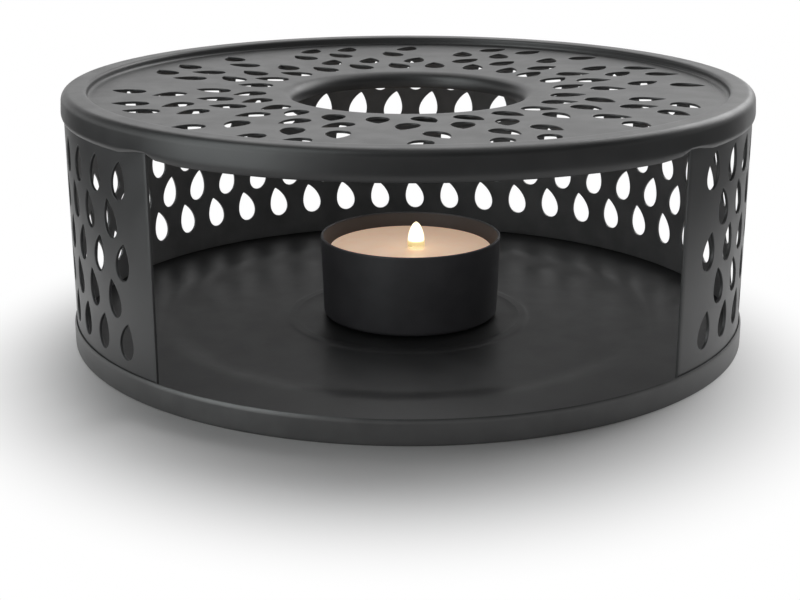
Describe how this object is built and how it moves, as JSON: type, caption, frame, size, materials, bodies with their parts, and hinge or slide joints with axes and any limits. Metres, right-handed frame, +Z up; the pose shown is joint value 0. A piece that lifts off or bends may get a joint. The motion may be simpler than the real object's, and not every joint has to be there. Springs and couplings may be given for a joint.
{
  "type": "teapot warmer",
  "caption": "Round perforated sheet-metal teapot warmer, open at the front, with a pressed top plate, a shallow base tray and a tealight standing inside.",
  "frame": {"origin": "on the table under the middle of the base tray", "axes": "+Z up, the door faces -Y, +X to the right of someone who looks in through the door"},
  "size_m": [0.145, 0.145, 0.0535],
  "materials": {
    "coated_steel": "satin black powder coat",
    "cup_shell": "satin black with a bluish sheen",
    "wax": "soft beige wax, glossy where it has melted",
    "wick_cotton": "braided cotton, charred where it burns",
    "tin": "bright tin plate"
  },
  "bodies": {
    "frame": {"top_plate": "coated_steel", "wall_band": "coated_steel", "base_tray": "coated_steel"},
    "tealight": {"candle_cup": "cup_shell"},
    "candle": {"wax_candle": "wax", "wick": "wick_cotton", "wick_sustainer": "tin"}
  },
  "joints": [
    {"name": "tealight_lift", "type": "slide", "parent": "frame", "child": "tealight", "axis": [0, 0, 1], "range_m": [0, 0.058]},
    {"name": "candle_lift", "type": "slide", "parent": "tealight", "child": "candle", "axis": [0, 0, 1], "range_m": [0, 0.018]}
  ]
}
